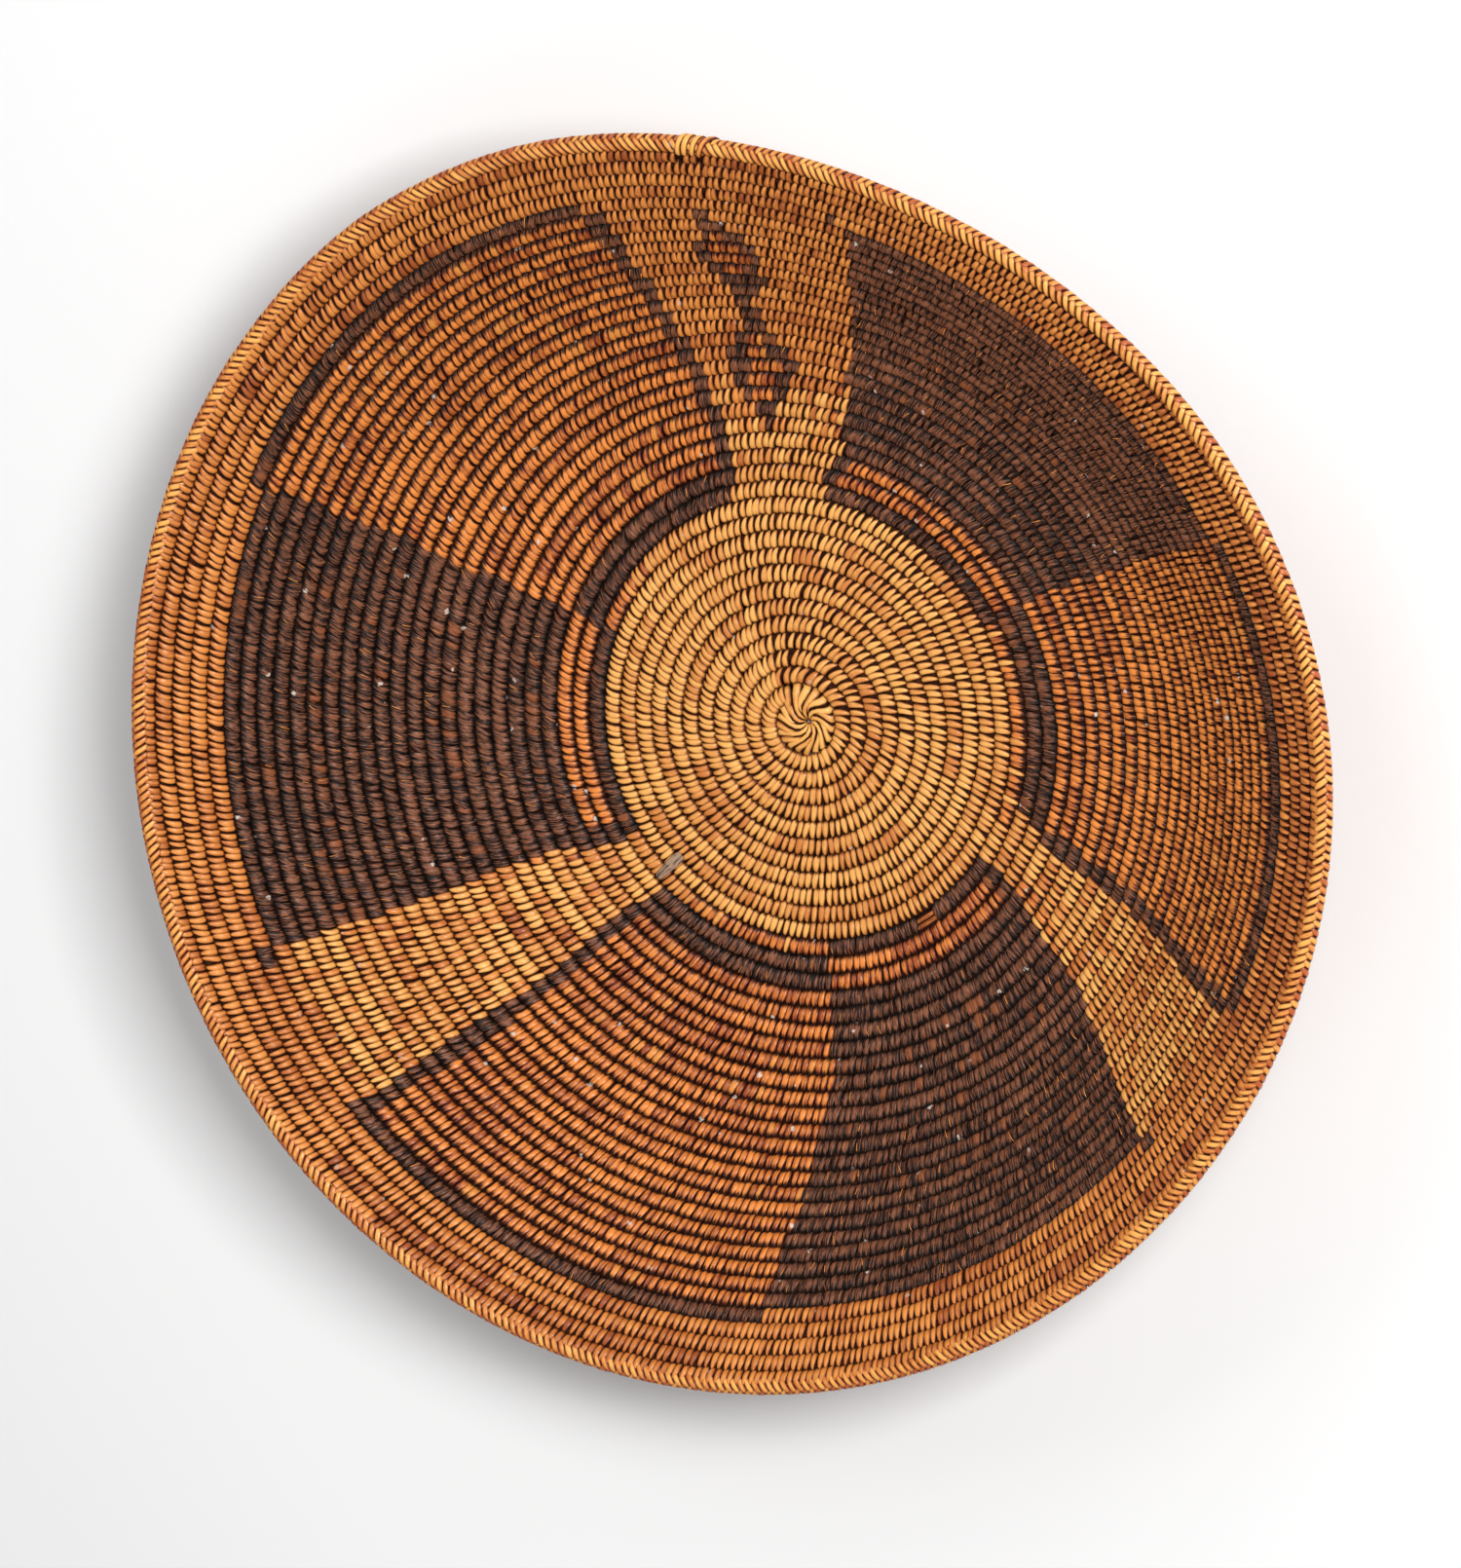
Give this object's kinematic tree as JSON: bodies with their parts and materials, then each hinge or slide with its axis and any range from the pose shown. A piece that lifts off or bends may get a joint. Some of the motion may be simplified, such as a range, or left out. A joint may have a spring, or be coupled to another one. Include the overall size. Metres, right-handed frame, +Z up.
{
  "type": "coiled basket tray",
  "caption": "Shallow round coiled basket tray with a flat base, flared wall, braided rim and three two-tone dyed panels.",
  "frame": {"origin": "centre of the flat underside of the start knot, on the surface the tray stands on", "axes": "+Z up out of the bowl; +X and +Y lie in the base and follow the picture's right and up; the coil runs out anticlockwise seen from above and its rim end is just left of +Y"},
  "size_m": [0.3988, 0.3941, 0.0895],
  "materials": {
    "natural_splint": "undyed golden splint, satin",
    "dyed_splint": "dyed dark brown and orange red splint, satin",
    "rim_splint": "glossy golden splint",
    "weathered_splint": "grey brown, matte"
  },
  "bodies": {
    "root": {"start_knot": "natural_splint", "coil_round_01": "natural_splint", "coil_round_02": "natural_splint", "coil_round_03": "natural_splint", "coil_round_04": "natural_splint", "coil_round_05": "natural_splint", "coil_round_06": "natural_splint", "coil_round_07": "natural_splint", "coil_round_08": "natural_splint", "coil_round_09": "natural_splint", "coil_round_10": "natural_splint", "coil_round_11": "natural_splint", "coil_round_12": "natural_splint", "coil_round_13": "dyed_splint", "coil_round_14": "dyed_splint", "coil_round_15": "dyed_splint", "coil_round_16": "dyed_splint", "coil_round_17": "dyed_splint", "coil_round_18": "dyed_splint", "coil_round_19": "dyed_splint", "coil_round_20": "dyed_splint", "coil_round_21": "dyed_splint", "coil_round_22": "dyed_splint", "coil_round_23": "dyed_splint", "coil_round_24": "dyed_splint", "coil_round_25": "dyed_splint", "coil_round_26": "dyed_splint", "coil_round_27": "dyed_splint", "coil_round_28": "dyed_splint", "coil_round_29": "dyed_splint", "coil_round_30": "dyed_splint", "coil_round_31": "dyed_splint", "coil_round_32": "dyed_splint", "coil_round_33": "dyed_splint", "coil_round_34": "dyed_splint", "coil_round_35": "dyed_splint", "coil_round_36": "dyed_splint", "coil_round_37": "natural_splint", "coil_round_38": "natural_splint", "coil_round_39": "natural_splint", "coil_round_40": "natural_splint", "rim_braid": "rim_splint", "rim_end_knot": "rim_splint", "splice_tail": "weathered_splint"}
  },
  "joints": []
}
